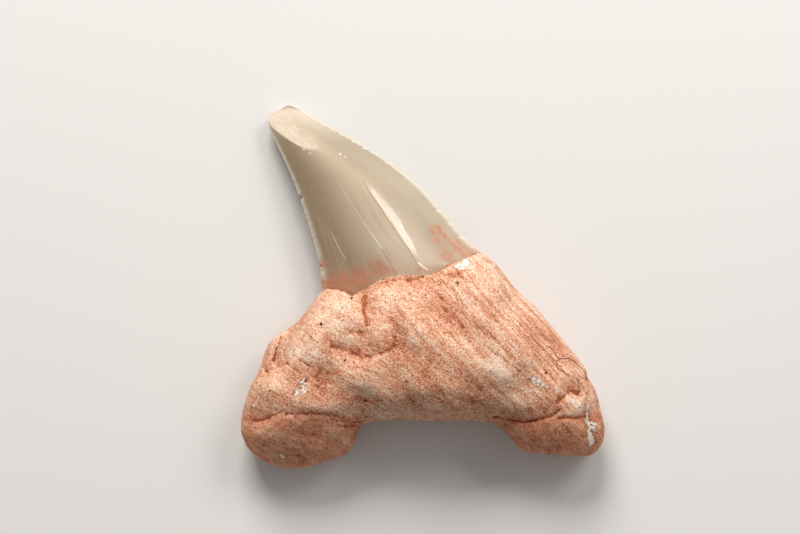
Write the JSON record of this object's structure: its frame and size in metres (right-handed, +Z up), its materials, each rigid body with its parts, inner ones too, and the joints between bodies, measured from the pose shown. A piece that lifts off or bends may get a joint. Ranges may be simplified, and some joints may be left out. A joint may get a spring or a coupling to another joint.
{
  "type": "fossil shark tooth",
  "caption": "Fossil shark tooth lying on its flatter back: a slanted blade-like enamel crown on a thick root with two rounded lobes and a notch between them.",
  "frame": {"origin": "centre of the tooth's box in plan, on the surface that it lies on", "axes": "+X across the tooth towards the longer lobe, +Y from the root towards the tip, +Z up out of the rounder face"},
  "size_m": [0.055, 0.055, 0.016],
  "materials": {
    "tooth": "matte sandy root with a glossy enamel crown"
  },
  "bodies": {
    "root": {"tooth": "tooth"}
  },
  "joints": []
}
